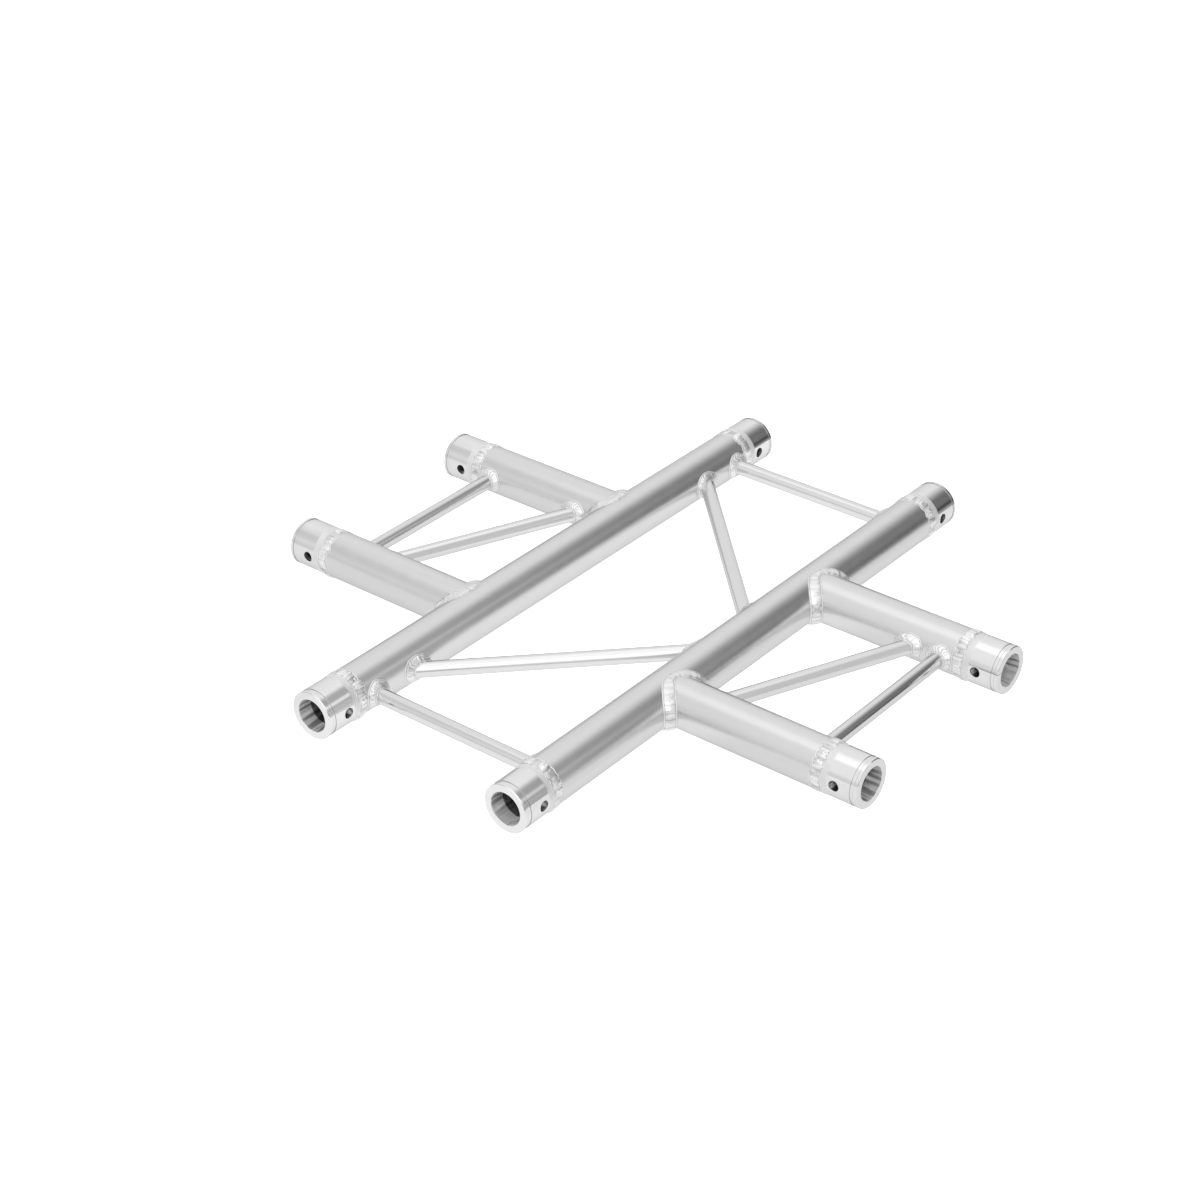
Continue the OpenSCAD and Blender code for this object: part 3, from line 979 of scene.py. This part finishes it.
def studio():
    """White room with one darker, open end, seen only in reflections."""
    world = bpy.data.worlds.new("studio")
    scene.world = world
    t = empty_tree(world)
    ray = add(t, "ShaderNodeTexCoord").outputs["Generated"]
    x, y, z = parts(t, ray)
    minus_y = times(t, y, -1.0)
    from_rear = angle(t, z, x)
    from_right = angle(t, z, minus_y)

    # soft boxes overhead and beside the camera
    overhead = lamp(t, ray, (-0.2, -0.16, 0.966), 52, 37)
    overhead = times(t, overhead, remap(t, dot(t, ray, VIEW_RIGHT), 0.48, 0.22))
    overhead = times(t, overhead, mix(t, remap(t, y, 0.25, 0.4), 1.0, remap(t, from_rear, 113.0, 99.0)))
    level = mix(t, overhead, 0.89, 1.16)
    level = plus(t, level, times(t, lamp(t, ray, (-0.62, -0.5, 0.605), 34, 20), 0.32))

    # slightly grey walls on the right and the far left, and a grey skirting on the left
    right_wall = times(t, remap(t, y, -0.3, -0.55), remap(t, x, -0.5, -0.3), remap(t, x, 0.5, 0.3))
    left_wall = times(t, peak(t, from_rear, 120.0, 58.0), remap(t, y, 0.5, 0.58))
    skirting = times(t, peak(t, z, 0.12, 0.3), remap(t, y, 0.3, 0.45), remap(t, x, -0.4, -0.6))
    level = plus(t, level, times(t, right_wall, -0.24), times(t, left_wall, -0.25), times(t, skirting, -0.2))

    # the dark, open end of the room: darkest far off, with a paler stripe across its near part
    far = remap(t, x, 0.59, 0.70, kind="LINEAR")
    near = calc(t, "SUBTRACT", 1.0, far)
    stripe = times(t, peak(t, from_right, 36.0, 14.0), near, near, 0.5)
    foot = times(t, peak(t, from_right, 12.0, 14.0), mix(t, far, 0.12, -0.1))
    dark = plus(t, mix(t, far, 0.46, 0.16), stripe, foot)
    top = remap(t, from_right, mix(t, far, 92.0, 122.0), mix(t, far, 68.0, 54.0))
    open_end = times(t, remap(t, from_right, -20.0, 5.0), top, remap(t, x, 0.4, 0.52))
    level = mix(t, open_end, level, dark)

    # the horizon behind the camera
    bearing = angle(t, minus_y, times(t, x, -1.0))
    level = mix(t, times(t, peak(t, z, 0.06, 0.34), peak(t, bearing, 40.0, 70.0)), level, 0.42)

    level = mix(t, camera_ray(t), level, 1.0)
    background = add(t, "ShaderNodeBackground", {"Color": grey(t, level), "Strength": 1.0})
    add(t, "ShaderNodeOutputWorld", {"Surface": background.outputs[0]})


def floor_surface(material):
    """White to the camera and clear from below. In reflections it has painted shadows at two of its ends and
    painted shade under the arms.
    """
    t = empty_tree(material)
    lit = add(t, "ShaderNodeBsdfDiffuse", {"Color": (0.9, 0.9, 0.9, 1)})
    lift = add(t, "ShaderNodeEmission", {"Color": WHITE, "Strength": 0.8})
    seen = add(t, "ShaderNodeAddShader", {0: lit.outputs[0], 1: lift.outputs[0]})
    at = own_place(t)
    _, y, _ = parts(t, at)
    # painted shadows, seen only in reflections: a little darker beyond the chords under the arms, darker in a
    # wedge towards the camera and towards the rear right
    shade_under_arms = remap(t, size_of(t, y), 0.15, 0.2, 0.96, 0.86)
    wedge = plus(t, dot(t, at, TOWARD_CAMERA), times(t, size_of(t, dot(t, at, VIEW_RIGHT)), -0.8))
    strength = remap(t, wedge, 0.46, 0.6, shade_under_arms, 0.2)
    strength = times(t, strength, remap(t, dot(t, at, REAR_RIGHT), 0.52, 0.72, 1.0, 0.35))
    reflected = add(t, "ShaderNodeEmission", {"Color": WHITE, "Strength": strength})
    above = add(t, "ShaderNodeMixShader", {0: camera_ray(t), 1: reflected.outputs[0], 2: seen.outputs[0]})
    clear = add(t, "ShaderNodeBsdfTransparent")
    from_below = add(t, "ShaderNodeNewGeometry").outputs["Backfacing"]
    surface = add(t, "ShaderNodeMixShader", {0: from_below, 1: above.outputs[0], 2: clear.outputs[0]})
    add(t, "ShaderNodeOutputMaterial", {"Surface": surface.outputs[0]})


def floor(half=6.0, clearance=0.3 * MM):
    """Square floor just under the lowest point of the object."""
    mesh = bpy.data.meshes.new("floor")
    square = [(-half, -half, 0), (half, -half, 0), (half, half, 0), (-half, half, 0)]
    mesh.from_pydata(square, [], [(0, 1, 2, 3)])
    plate = bpy.data.objects.new("floor", mesh)
    scene.collection.objects.link(plate)
    plate.location = (0, 0, LOWEST - clearance)
    material = bpy.data.materials.new("floor")
    floor_surface(material)
    mesh.materials.append(material)


def camera():
    """Camera in front and to the right of the object, looking down at it."""
    azimuth, elevation, roll = (math.radians(degrees) for degrees in (-50.97, 31.48, -0.42))
    target = Vector((-0.02383, 0.03774, 0.0))
    distance = 2.64297
    level = math.cos(elevation)
    back = Vector((math.sin(azimuth) * level, -math.cos(azimuth) * level, math.sin(elevation)))
    right = (-back).cross(Vector((0, 0, 1))).normalized()
    up = right.cross(-back)
    local_x = right * math.cos(roll) + up * math.sin(roll)
    local_y = up * math.cos(roll) - right * math.sin(roll)
    data = bpy.data.cameras.new("camera")
    data.sensor_width = 36.0
    data.lens = 78.55
    data.clip_start = 0.05
    data.clip_end = 50.0
    made = bpy.data.objects.new("camera", data)
    scene.collection.objects.link(made)
    matrix = Matrix((local_x, local_y, back)).transposed().to_4x4()
    matrix.translation = target + back * distance
    made.matrix_world = matrix
    scene.camera = made


studio()
floor()
camera()
scene.view_settings.view_transform = "Standard"
scene.view_settings.look = "None"
bpy.context.view_layer.update()
